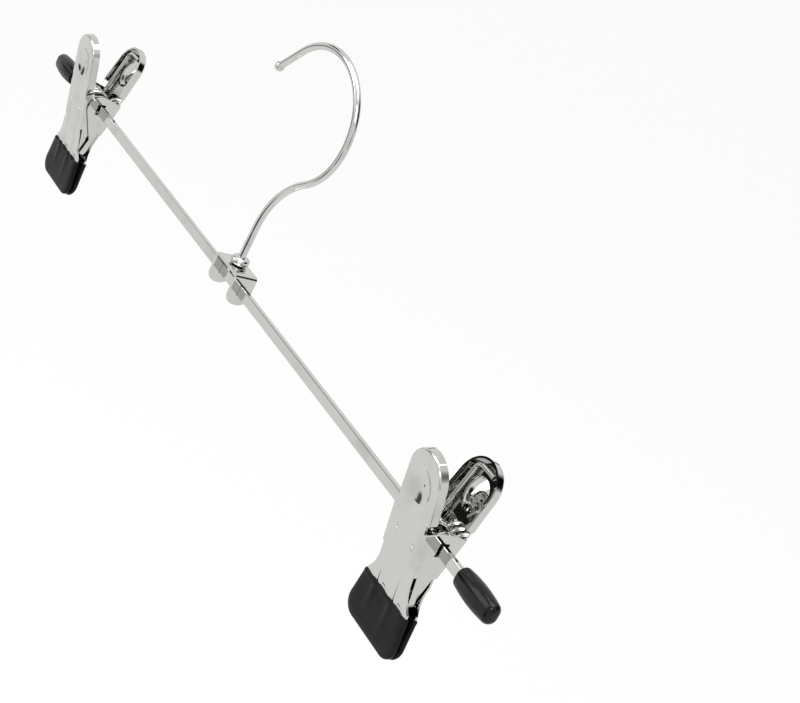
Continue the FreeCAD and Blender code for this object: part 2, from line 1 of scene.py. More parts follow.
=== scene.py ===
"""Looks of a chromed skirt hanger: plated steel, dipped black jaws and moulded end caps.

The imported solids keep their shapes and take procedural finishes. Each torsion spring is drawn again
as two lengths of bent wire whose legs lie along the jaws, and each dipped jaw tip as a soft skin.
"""

import json
import logging
import math
from dataclasses import dataclass
from enum import Enum
from typing import Any, Iterable

import bmesh
import bpy
from mathutils import Matrix, Vector

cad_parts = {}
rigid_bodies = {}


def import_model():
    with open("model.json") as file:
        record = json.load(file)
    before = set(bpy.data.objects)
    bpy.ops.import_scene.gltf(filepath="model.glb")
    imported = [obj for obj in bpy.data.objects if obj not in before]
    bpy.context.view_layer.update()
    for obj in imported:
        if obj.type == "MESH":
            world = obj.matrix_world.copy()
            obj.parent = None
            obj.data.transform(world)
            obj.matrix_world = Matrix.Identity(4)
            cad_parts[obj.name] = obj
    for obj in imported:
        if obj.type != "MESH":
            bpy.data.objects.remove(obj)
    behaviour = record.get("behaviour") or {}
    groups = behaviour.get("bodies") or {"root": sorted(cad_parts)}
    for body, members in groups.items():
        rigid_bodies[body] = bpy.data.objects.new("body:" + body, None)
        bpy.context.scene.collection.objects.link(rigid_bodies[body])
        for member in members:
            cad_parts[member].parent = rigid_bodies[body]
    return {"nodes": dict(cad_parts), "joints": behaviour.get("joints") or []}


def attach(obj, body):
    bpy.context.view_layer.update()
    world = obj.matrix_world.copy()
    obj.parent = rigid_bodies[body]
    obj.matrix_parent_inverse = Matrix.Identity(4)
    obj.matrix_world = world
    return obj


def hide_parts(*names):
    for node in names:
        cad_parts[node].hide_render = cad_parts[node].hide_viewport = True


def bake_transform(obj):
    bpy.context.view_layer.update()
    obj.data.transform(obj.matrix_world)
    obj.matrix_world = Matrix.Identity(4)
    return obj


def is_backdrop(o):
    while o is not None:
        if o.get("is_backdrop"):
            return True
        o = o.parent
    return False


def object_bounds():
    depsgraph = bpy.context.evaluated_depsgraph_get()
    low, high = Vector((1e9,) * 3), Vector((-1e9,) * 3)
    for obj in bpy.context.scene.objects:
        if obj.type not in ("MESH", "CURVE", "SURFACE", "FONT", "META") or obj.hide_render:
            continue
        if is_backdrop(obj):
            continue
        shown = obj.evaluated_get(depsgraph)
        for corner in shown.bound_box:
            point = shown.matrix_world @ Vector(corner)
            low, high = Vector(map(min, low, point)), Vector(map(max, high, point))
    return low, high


LOG = logging.getLogger("skirt_hanger")
MM = 0.001
# Lean of each plate and spring leg from upright, with the clip shut.
PLATE_TILT = math.radians(12.8)
# Refractive index of softened vinyl, dipped or moulded.
VINYL_IOR = 1.53
# Sockets of a Mix node that is set to colours.
MIX_A, MIX_B, MIX_COLOUR = 6, 7, 2
# Points closer than this are one point, and edges shorter than a sliver are dropped.
WELD_GAP = 0.002 * MM
SLIVER = WELD_GAP / 10


class End(Enum):
    """The end of the bar that a clip or cap sits at."""

    LEFT = "left"
    RIGHT = "right"


class Jaw(Enum):
    """One of a clip's two plates, with the sign of the Y side that it stands on."""

    FRONT = -1
    REAR = 1

    @property
    def word(self) -> str:
        """Name of the jaw as it stands in node names."""
        return self.name.lower()


class Slot(Enum):
    """Names of two material slots of the record."""

    SPRING = "spring_steel"
    TIP = "tip_vinyl"


def linear(colour: str) -> tuple[float, float, float, float]:
    """Turn an sRGB hex colour to linear values.

    Args:
        colour: Colour as "#rrggbb".

    Returns:
        Linear red, green and blue, and full opacity.
    """
    shares = (int(colour[i:i + 2], 16) / 255 for i in (1, 3, 5))
    # The sRGB curve: a straight foot below a power.
    red, green, blue = (s / 12.92 if s <= 0.04045 else ((s + 0.055) / 1.055) ** 2.4 for s in shares)
    return red, green, blue, 1.0


def add_node(tree: bpy.types.NodeTree, kind: str, inputs: dict[Any, Any] | None = None,
             **settings: Any) -> bpy.types.Node:
    """Add one node with its settings, values and links.

    Args:
        tree: Tree that takes the node.
        kind: Node type.
        inputs: Socket name or number to a value, or to the socket that feeds it.
        settings: Properties of the node itself.

    Returns:
        The new node.
    """
    node = tree.nodes.new(kind)
    for name, value in settings.items():
        setattr(node, name, value)
    for key, value in (inputs or {}).items():
        if isinstance(value, bpy.types.NodeSocket):
            tree.links.new(value, node.inputs[key])
        else:
            node.inputs[key].default_value = value
    return node


def per_metre(size_mm: float) -> float:
    """Texture scale whose pattern repeats about once in a size given in millimetres."""
    return 1 / (size_mm * MM)


def new_material(name: str) -> tuple[bpy.types.Material, bpy.types.NodeTree]:
    """Start an empty node material.

    Args:
        name: Name of the finish.

    Returns:
        The material and its cleared tree.
    """
    material = bpy.data.materials.new(name)
    material.use_nodes = True
    material.node_tree.nodes.clear()
    return material, material.node_tree


@dataclass(frozen=True)
class ChromePlate:
    """Bright chromium over polished steel: a hard mirror with a little handling haze on it.

    Chromium sends back a bit over half of the light, so a white room reads pale grey in it.
    """

    name: str = "bright_chrome_plate"
    bright: str = "#c6c6c3"
    dull: str = "#babab7"
    smooth: float = 0.035
    hazed: float = 0.09
    haze_mm: float = 11.0
    haze_from: float = 0.5
    haze_full: float = 0.72
    wave_mm: float = 7.0
    wave_height_mm: float = 0.012
    scratch_mm: float = 0.45
    scratch_run_mm: float = 9.0
    scratch_height_mm: float = 0.0012

    def material(self) -> bpy.types.Material:
        """Build the finish.

        Returns:
            The chrome material.
        """
        material, tree = new_material(self.name)
        place = add_node(tree, "ShaderNodeTexCoord").outputs["Object"]
        haze = add_node(tree, "ShaderNodeTexNoise", {
            "Vector": place, "Scale": per_metre(self.haze_mm), "Detail": 4.0, "Roughness": 0.6})
        patch = add_node(tree, "ShaderNodeMapRange", {
            "Value": haze.outputs["Fac"], "From Min": self.haze_from,
            "From Max": self.haze_full}, interpolation_type="SMOOTHSTEP")
        roughness = add_node(tree, "ShaderNodeMapRange", {
            "Value": patch.outputs["Result"], "To Min": self.smooth, "To Max": self.hazed})
        tint = add_node(tree, "ShaderNodeMix", {
            "Factor": patch.outputs["Result"], MIX_A: linear(self.bright),
            MIX_B: linear(self.dull)}, data_type="RGBA")
        # The rolling and polishing marks are far finer on the real sheet, and are drawn as coarse
        # as the render needs to show them.
        stretched = add_node(tree, "ShaderNodeMapping", {
            "Vector": place, "Scale": (per_metre(self.scratch_mm), per_metre(self.scratch_mm),
                                       per_metre(self.scratch_run_mm))})
        scratches = add_node(tree, "ShaderNodeTexNoise", {
            "Vector": stretched.outputs["Vector"], "Scale": 1.0, "Detail": 2.0})
        waves = add_node(tree, "ShaderNodeTexNoise", {
            "Vector": place, "Scale": per_metre(self.wave_mm), "Detail": 1.0})
        rolled = add_node(tree, "ShaderNodeBump", {
            "Strength": 1.0, "Distance": self.wave_height_mm * MM, "Height": waves.outputs["Fac"]})
        polished = add_node(tree, "ShaderNodeBump", {
            "Strength": 1.0, "Distance": self.scratch_height_mm * MM,
            "Height": scratches.outputs["Fac"], "Normal": rolled.outputs["Normal"]})
        shader = add_node(tree, "ShaderNodeBsdfPrincipled", {
            "Base Color": tint.outputs[MIX_COLOUR], "Metallic": 1.0,
            "Roughness": roughness.outputs["Result"], "Normal": polished.outputs["Normal"]})
        add_node(tree, "ShaderNodeOutputMaterial", {"Surface": shader.outputs["BSDF"]})
        return material


@dataclass(frozen=True)
class DippedVinyl:
    """Soft black plastisol that the jaws are dipped in: satin skin with a faint orange peel."""

    name: str = "dipped_black_vinyl"
    deep: str = "#0d0e0f"
    worn: str = "#191b1d"
    mottle_mm: float = 5.0
    rub_from: float = 0.4
    rub_full: float = 0.7
    peel_mm: float = 0.7
    peel_height_mm: float = 0.02
    sag_mm: float = 4.0
    sag_height_mm: float = 0.05
    satin: float = 0.36
    rubbed: float = 0.52
    shine: float = 0.11

    def material(self) -> bpy.types.Material:
        """Build the finish.

        Returns:
            The vinyl material.
        """
        material, tree = new_material(self.name)
        place = add_node(tree, "ShaderNodeTexCoord").outputs["Object"]
        mottle = add_node(tree, "ShaderNodeTexNoise", {
            "Vector": place, "Scale": per_metre(self.mottle_mm), "Detail": 5.0, "Roughness": 0.55})
        rub = add_node(tree, "ShaderNodeMapRange", {
            "Value": mottle.outputs["Fac"], "From Min": self.rub_from,
            "From Max": self.rub_full})
        colour = add_node(tree, "ShaderNodeMix", {
            "Factor": rub.outputs["Result"], MIX_A: linear(self.deep),
            MIX_B: linear(self.worn)}, data_type="RGBA")
        roughness = add_node(tree, "ShaderNodeMapRange", {
            "Value": rub.outputs["Result"], "To Min": self.satin, "To Max": self.rubbed})
        sag = add_node(tree, "ShaderNodeTexNoise", {
            "Vector": place, "Scale": per_metre(self.sag_mm), "Detail": 1.0})
        peel = add_node(tree, "ShaderNodeTexNoise", {
            "Vector": place, "Scale": per_metre(self.peel_mm), "Detail": 2.0})
        swell = add_node(tree, "ShaderNodeBump", {
            "Strength": 1.0, "Distance": self.sag_height_mm * MM, "Height": sag.outputs["Fac"]})
        skin = add_node(tree, "ShaderNodeBump", {
            "Strength": 1.0, "Distance": self.peel_height_mm * MM, "Height": peel.outputs["Fac"],
            "Normal": swell.outputs["Normal"]})
        shader = add_node(tree, "ShaderNodeBsdfPrincipled", {
            "Base Color": colour.outputs[MIX_COLOUR], "Roughness": roughness.outputs["Result"],
            "IOR": VINYL_IOR, "Specular IOR Level": self.shine, "Normal": skin.outputs["Normal"]})
        add_node(tree, "ShaderNodeOutputMaterial", {"Surface": shader.outputs["BSDF"]})
        return material


@dataclass(frozen=True)
class MouldedVinyl:
    """Glossy black vinyl from a polished mould: deep black with long clear highlights."""

    name: str = "moulded_black_vinyl"
    deep: str = "#0d0e0f"
    scuffed: str = "#1c1d1f"
    scuff_mm: float = 6.0
    scuff_from: float = 0.48
    scuff_full: float = 0.75
    flow_mm: float = 2.5
    flow_height_mm: float = 0.015
    gloss: float = 0.12
    dulled: float = 0.26
    shine: float = 0.2

    def material(self) -> bpy.types.Material:
        """Build the finish.

        Returns:
            The cap material.
        """
        material, tree = new_material(self.name)
        place = add_node(tree, "ShaderNodeTexCoord").outputs["Object"]
        scuff = add_node(tree, "ShaderNodeTexNoise", {
            "Vector": place, "Scale": per_metre(self.scuff_mm), "Detail": 6.0, "Roughness": 0.65})
        share = add_node(tree, "ShaderNodeMapRange", {
            "Value": scuff.outputs["Fac"], "From Min": self.scuff_from,
            "From Max": self.scuff_full})
        colour = add_node(tree, "ShaderNodeMix", {
            "Factor": share.outputs["Result"], MIX_A: linear(self.deep),
            MIX_B: linear(self.scuffed)}, data_type="RGBA")
        roughness = add_node(tree, "ShaderNodeMapRange", {
            "Value": share.outputs["Result"], "To Min": self.gloss, "To Max": self.dulled})
        flow = add_node(tree, "ShaderNodeTexNoise", {
            "Vector": place, "Scale": per_metre(self.flow_mm), "Detail": 1.0})
        skin = add_node(tree, "ShaderNodeBump", {
            "Strength": 1.0, "Distance": self.flow_height_mm * MM, "Height": flow.outputs["Fac"]})
        shader = add_node(tree, "ShaderNodeBsdfPrincipled", {
            "Base Color": colour.outputs[MIX_COLOUR], "Roughness": roughness.outputs["Result"],
            "IOR": VINYL_IOR, "Specular IOR Level": self.shine, "Normal": skin.outputs["Normal"]})
        add_node(tree, "ShaderNodeOutputMaterial", {"Surface": shader.outputs["BSDF"]})
        return material


def dress(obj: bpy.types.Object, material: bpy.types.Material) -> None:
    """Give an object one finish in place of what it had.

    Args:
        obj: Mesh object.
        material: Finish to show.
    """
    obj.data.materials.clear()
    obj.data.materials.append(material)
    LOG.info("%s takes %s", obj.name, material.name)


def plain_copy(obj: bpy.types.Object, name: str) -> bpy.types.Object:
    """Turn an object's evaluated shape into a plain mesh object, and drop the object.

    Args:
        obj: Object with live modifiers.
        name: Name of the plain one.

    Returns:
        New object at the origin with no modifiers.
    """
    bpy.context.view_layer.update()
    graph = bpy.context.evaluated_depsgraph_get()
    mesh = bpy.data.meshes.new_from_object(obj.evaluated_get(graph))
    mesh.name = name
    bpy.data.objects.remove(obj)
    plain = bpy.data.objects.new(name, mesh)
    bpy.context.scene.collection.objects.link(plain)
    return plain


def weld_and_face_out(mesh: bpy.types.Mesh) -> None:
    """Join points that fall together and turn every face outwards.

    Args:
        mesh: Closed mesh whose seams meet point on point.
    """
    form = bmesh.new()
    form.from_mesh(mesh)
    bmesh.ops.remove_doubles(form, verts=form.verts, dist=WELD_GAP)
    bmesh.ops.dissolve_degenerate(form, edges=form.edges, dist=SLIVER)
    bmesh.ops.recalc_face_normals(form, faces=form.faces)
    form.to_mesh(mesh)
    form.free()


class WireTree:
    """Geometry Nodes tree that draws round wire along a path of edges."""

    def __init__(self) -> None:
        """Build the tree with its named inputs."""
        self.tree = bpy.data.node_groups.new("round_wire", "GeometryNodeTree")
        face = self.tree.interface
        face.new_socket("Geometry", in_out="INPUT", socket_type="NodeSocketGeometry")
        self.sockets = {
            name: face.new_socket(name, in_out="INPUT", socket_type=kind).identifier
            for name, kind in (("Wire Diameter", "NodeSocketFloat"), ("Sides", "NodeSocketInt"),
                               ("Spacing", "NodeSocketFloat"), ("Finish", "NodeSocketMaterial"))}
        face.new_socket("Geometry", in_out="OUTPUT", socket_type="NodeSocketGeometry")
        given = add_node(self.tree, "NodeGroupInput").outputs
        path = add_node(self.tree, "GeometryNodeMeshToCurve", {"Mesh": given["Geometry"]})
        even = add_node(self.tree, "GeometryNodeResampleCurve", {
            "Curve": path.outputs["Curve"], "Length": given["Spacing"]}, mode="LENGTH")
        radius = add_node(self.tree, "ShaderNodeMath", {0: given["Wire Diameter"], 1: 0.5},
                          operation="MULTIPLY")
        ring = add_node(self.tree, "GeometryNodeCurvePrimitiveCircle", {
            "Resolution": given["Sides"], "Radius": radius.outputs[0]})
        tube = add_node(self.tree, "GeometryNodeCurveToMesh", {
            "Curve": even.outputs["Curve"], "Profile Curve": ring.outputs["Curve"],
            "Fill Caps": True})
        real = add_node(self.tree, "GeometryNodeRealizeInstances", {
            "Geometry": tube.outputs["Mesh"]})
        smooth = add_node(self.tree, "GeometryNodeSetShadeSmooth", {
            "Geometry": real.outputs["Geometry"]})
        finished = add_node(self.tree, "GeometryNodeSetMaterial", {
            "Geometry": smooth.outputs["Geometry"], "Material": given["Finish"]})
        add_node(self.tree, "NodeGroupOutput", {"Geometry": finished.outputs["Geometry"]})

    def draw(self, name: str, points: Iterable[Vector], **values: Any) -> bpy.types.Object:
        """Draw one length of wire.

        Args:
            name: Name of the piece.
            points: Centreline, in the row frame.
            values: Tree inputs by name, with underscores for spaces.

        Returns:
            Plain mesh object of the wire.
        """
        spots = list(points)
        mesh = bpy.data.meshes.new(f"{name}_path")
        mesh.from_pydata(spots, [(i, i + 1) for i in range(len(spots) - 1)], [])
        carrier = bpy.data.objects.new(f"{name}_path", mesh)
        modifier = carrier.modifiers.new("round_wire", "NODES")
        modifier.node_group = self.tree
        for key, value in values.items():
            modifier[self.sockets[key.replace("_", " ").title()]] = value
        bpy.context.scene.collection.objects.link(carrier)
        return plain_copy(carrier, name)


@dataclass
class TorsionSpring:
    """Wire spring wound round the bar, with one leg behind each tab.

    The wire is cut at the foot of a turn, where it stands still as the clip opens, into one half
    for each jaw.
    """

    end: End
    pivot: Vector
    wire: WireTree
    diameter: float = 1.4 * MM
    coil_radius: float = 4.1 * MM
    turns: int = 3
    pitch: float = 2.4 * MM
    tilt: float = PLATE_TILT
    leg_height: float = 20.4 * MM
    bend_radius: float = 1.9 * MM
    cross_run: float = 7.2 * MM
    steps_per_turn: int = 48
    bend_steps: int = 8
    sides: int = 20
    rings_per_diameter: int = 4
    twist_low: float = -3.0 * MM
    twist_high: float = 6.0 * MM

    @property
    def sweep(self) -> float:
        """Angle that the coil turns through between the legs."""
        return 2 * math.pi * self.turns + math.pi - 2 * self.tilt

    @property
    def cut(self) -> float:
        """Angle from the front leg to the cut, at the foot of the second turn."""
        return math.pi / 2 - self.tilt + 2 * math.pi

    def coil_point(self, turned: float) -> Vector:
        """Point on the coil's centreline.

        Args:
            turned: Angle from the front leg's foot.

        Returns:
            Point in the row frame.
        """
        angle = math.pi + self.tilt + turned
        along = self.pitch * (self.sweep / 2 - turned) / (2 * math.pi)
        return self.pivot + Vector((along, self.coil_radius * math.cos(angle),
                                    self.coil_radius * math.sin(angle)))

    def leg(self, jaw: Jaw) -> list[Vector]:
        """Points of one leg from its cut end down to the coil.

        Args:
            jaw: Plate that the leg presses on.

        Returns:
            Points in the row frame.
        """
        side = jaw.value
        foot = self.coil_point(0.0 if jaw is Jaw.FRONT else self.sweep)
        up = Vector((0, side * math.sin(self.tilt), math.cos(self.tilt)))
        inward = Vector((side, 0, 0))
        corner = foot + up * (self.leg_height - self.bend_radius)
        points = [corner + up * self.bend_radius + inward * self.cross_run]
        for step in range(self.bend_steps + 1):
            angle = math.pi / 2 * (1 - step / self.bend_steps)
            points.append(corner + up * (self.bend_radius * math.sin(angle))
                          + inward * (self.bend_radius * (1 - math.cos(angle))))
        return points

    def half(self, jaw: Jaw) -> list[Vector]:
        """Centreline of the half that goes with one jaw.

        Args:
            jaw: Plate that the half's leg presses on.

        Returns:
            Points from the leg's end to the cut.
        """
        start, span = (0.0, self.cut) if jaw is Jaw.FRONT else (self.sweep, self.cut - self.sweep)
        steps = math.ceil(abs(span) / (2 * math.pi) * self.steps_per_turn)
        return self.leg(jaw) + [self.coil_point(start + span * i / steps) for i in range(steps + 1)]

    def build(self, finish: bpy.types.Material) -> None:
        """Draw both halves in place of the imported spring.

        Args:
            finish: Plated wire.
        """
        for jaw in Jaw:
            name = f"{self.end.value}_spring_{jaw.word}_half"
            piece = self.wire.draw(
                name, self.half(jaw), wire_diameter=self.diameter, sides=self.sides,
                spacing=self.diameter / self.rings_per_diameter, finish=finish)
            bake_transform(piece)
            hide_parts(f"{self.end.value}_spring")
            LOG.info("%s drawn, %d faces", name, len(piece.data.polygons))


@dataclass
class DippedTip:
    """Skin of vinyl over one jaw's end: round edges, a full lip, and the ribs showing through.

    It is drawn in the jaw's own frame: across the jaw, down from the bend and out from the
    inside of the sheet.
    """

    end: End
    jaw: Jaw
    pivot: Vector
    tilt: float = PLATE_TILT
    bend: float = math.radians(10.0)
    inside: float = 5.2 * MM
    bend_drop: float = 17.6 * MM
    top: float = 1.1 * MM
    bottom: float = 14.1 * MM
    half_top: float = 10.8 * MM
    half_bottom: float = 12.2 * MM
    corner: float = 4.5 * MM
    sheet: float = 0.6 * MM
    wall: float = 0.35 * MM
    outer_swell: float = 0.35 * MM
    swell_reach: float = 2.6 * MM
    lip_wave: float = 0.16 * MM
    rib_place: float = 4.1 * MM
    rib_width: float = 1.15 * MM
    rib_height: float = 0.42 * MM
    rib_fade: float = 6.0 * MM
    lip_swell: float = 0.12 * MM
    columns: int = 96
    rows: int = 56

    def edge_distance(self, x: float, down: float) -> float:
        """How far a point lies inside the sides, corners and bottom edge.

        Args:
            x: Place across the jaw.
            down: Place below the bend.

        Returns:
            Distance, nought on the edge.
        """
        across = self.half_width(min(down, self.bottom - self.corner)) - abs(x)
        above = self.bottom - down
        if across < self.corner and above < self.corner:
            return self.corner - math.hypot(self.corner - across, self.corner - above)
        return min(across, above)

    def half_width(self, down: float) -> float:
        """Half of the outline's width at a level.

        Args:
            down: Place below the bend.

        Returns:
            Half width, drawn in at the rounded corners.
        """
        straight = self.bottom - self.corner
        share = min(down, straight) / straight
        half = self.half_top + (self.half_bottom - self.half_top) * share
        fall = max(0.0, down - straight)
        return half - self.corner + math.sqrt(max(0.0, self.corner ** 2 - fall ** 2))

    def thickness(self, x: float, down: float) -> float:
        """Half thickness of the coated sheet, round at the edges and at the lip.

        Args:
            x: Place across the jaw.
            down: Place below the bend.

        Returns:
            Distance from the sheet's middle to the skin.
        """
        full = self.sheet / 2 + self.wall
        inset = max(0.0, min(full, self.edge_distance(x, down)))
        round_edge = math.sqrt(full ** 2 - (full - inset) ** 2)
        rise = max(0.0, self.wall - (down - self.top)) / self.wall
        lip = self.wall * (1 - math.sqrt(1 - rise ** 2))
        return round_edge * (1 - lip / full)

    def relief(self, x: float, down: float) -> float:
        """Height of the coat's swell, the ribs and the lip's bead on the outer face.

        Args:
            x: Place across the jaw.
            down: Place below the bend.

        Returns:
            Height over the plain skin.
        """
        below = down - self.top
        inset = max(0.0, min(self.swell_reach, self.edge_distance(x, down)))
        swell = self.outer_swell * math.sin(math.pi / 2 * inset / self.swell_reach)
        rib = math.exp(-((abs(x) - self.rib_place) / self.rib_width) ** 2)
        bead = math.exp(-((below - self.wall) / self.wall) ** 2)
        return (swell * min(1.0, below / self.wall) + self.lip_swell * bead
                + self.rib_height * rib * math.exp(-(below / self.rib_fade) ** 2))

    def lip(self, x: float, down: float) -> float:
        """Shift of a level near the lip, which runs up and down a little across the jaw.

        Args:
            x: Place across the jaw.
            down: Level below the bend.

        Returns:
            Distance to move the level down.
        """
        share = max(0.0, 1 - (down - self.top) / self.swell_reach)
        return self.lip_wave * math.cos(2 * math.pi * x / self.rib_place) * share

    def skin(self) -> tuple[list[Vector], list[tuple[int, ...]]]:
        """Draw the outer and the inner sheet on one grid, joined all round.

        Returns:
            Points in the row frame, and faces.
        """
        side = self.jaw.value
        up = Vector((0, side * math.sin(self.tilt), math.cos(self.tilt)))
        out = Vector((0, side * math.cos(self.tilt), -math.sin(self.tilt)))
        fold = self.pivot + out * self.inside - up * self.bend_drop
        along = out * math.sin(self.bend) - up * math.cos(self.bend)
        proud = out * math.cos(self.bend) + up * math.sin(self.bend)
        points: list[Vector] = []
        stride = self.columns + 1
        for face in (1, -1):
            for row in range(self.rows + 1):
                share = (1 - math.cos(math.pi * row / self.rows)) / 2
                down = self.top + (self.bottom - self.top) * share
                half = self.half_width(down)
                for column in range(stride):
                    x = half * math.sin(math.pi * (column / self.columns - 0.5))
                    deep = self.thickness(x, down)
                    level = self.sheet / 2 + face * deep
                    if face > 0:
                        level += self.relief(x, down) * deep / (self.sheet / 2 + self.wall)
                    points.append(fold + Vector((x, 0, 0)) + along * (down + self.lip(x, down))
                                  + proud * level)
        sheet_size = stride * (self.rows + 1)
        faces: list[tuple[int, ...]] = []
        for row in range(self.rows):
            for column in range(self.columns):
                first = row * stride + column
                corners = (first, first + 1, first + stride + 1, first + stride)
                faces.append(corners)
                faces.append(tuple(sheet_size + index for index in reversed(corners)))
        faces += [(column + 1, column, sheet_size + column, sheet_size + column + 1)
                  for column in range(self.columns)]
        return points, faces

    def build(self, node: bpy.types.Object, finish: bpy.types.Material) -> None:
        """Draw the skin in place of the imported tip.

        Args:
            node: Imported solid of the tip.
            finish: Dipped vinyl.
        """
        name = f"{node.name}_skin"
        mesh = bpy.data.meshes.new(name)
        points, faces = self.skin()
        mesh.from_pydata(points, [], faces)
        weld_and_face_out(mesh)
        mesh.shade_smooth()
        piece = bpy.data.objects.new(name, mesh)
        bpy.context.scene.collection.objects.link(piece)
        dress(piece, finish)
        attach(piece, f"{self.end.value}_{self.jaw.word}_jaw")
        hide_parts(node.name)


@dataclass
class SpringClip:
    """One sliding clip: two stamped plates, their dipped tips and the spring between them."""

    end: End
    nodes: dict[str, bpy.types.Object]
    pivot: Vector
    wire: WireTree

    def build(self, chrome: bpy.types.Material, vinyl: bpy.types.Material) -> None:
        """Dress the plates and draw the tips and the spring.

        Args:
            chrome: Finish of the plates and the spring.
            vinyl: Finish of the tips.
        """
        for jaw in Jaw:
            stem = f"{self.end.value}_{jaw.word}"
            dress(self.nodes[f"{stem}_plate"], chrome)
            DippedTip(self.end, jaw, self.pivot).build(self.nodes[f"{stem}_tip"], vinyl)
        TorsionSpring(self.end, self.pivot, self.wire).build(chrome)


@dataclass
class HangerFrame:
    """The flat bar with its caps, the bracket and the hook that swivels in it."""

    nodes: dict[str, bpy.types.Object]
    plated: tuple[str, ...] = ("hook", "centre_bracket", "bar")
    moulded: tuple[str, ...] = ("left_end_cap", "right_end_cap")

    def build(self, chrome: bpy.types.Material, caps: bpy.types.Material) -> None:
        """Give each solid its finish.

        Args:
            chrome: Finish of the steel.
            caps: Finish of the end caps.
        """
        for name in self.plated:
            dress(self.nodes[name], chrome)
        for name in self.moulded:
            dress(self.nodes[name], caps)


@dataclass(frozen=True)
class PhotoCamera:
    """Camera that looks down along the hanger and leans to one side."""

    place: tuple[float, float, float] = (0.41422, -0.27804, 0.10580)
    azimuth: float = math.radians(50.0)
    elevation: float = math.radians(19.35)
    lean: float = math.radians(27.71)
    focal_px: float = 1811.78
    image_width_px: int = 800
    sensor_mm: float = 36.0
    nearest: float = 0.01

    def build(self) -> None:
        """Make the scene's camera."""
        data = bpy.data.cameras.new("photo_camera")
        data.sensor_fit = "HORIZONTAL"
        data.sensor_width = self.sensor_mm
        data.lens = self.sensor_mm * self.focal_px / self.image_width_px
        data.clip_start = self.nearest
        camera = bpy.data.objects.new("photo_camera", data)
        level = (Matrix.Rotation(self.azimuth, 4, "Z")
                 @ Matrix.Rotation(math.pi / 2 - self.elevation, 4, "X"))
        camera.matrix_world = (Matrix.Translation(Vector(self.place)) @ level
                               @ Matrix.Rotation(self.lean, 4, "Z"))
        bpy.context.scene.collection.objects.link(camera)
        bpy.context.scene.camera = camera


@dataclass(frozen=True)
class Panel:
    """A flat panel of the studio that faces the hanger."""

    name: str
    place: tuple[float, float, float]
    width: float
    height: float

    def matrix(self, target: Vector) -> Matrix:
        """Turn the panel's face towards a point.

        Args:
            target: Point that it faces.

        Returns:
            Place and turn of the panel.
        """
        spot = Vector(self.place)
        turn = (target - spot).to_track_quat("-Z", "Y")
        return Matrix.Translation(spot) @ turn.to_matrix().to_4x4()


@dataclass(frozen=True)
class Flag(Panel):
    """A card with soft edges and a shade of its own."""

    shade: str = "#0b0c0d"


@dataclass(frozen=True)
class Lamp(Panel):
    """A soft lamp and its power in watts."""

    power: float


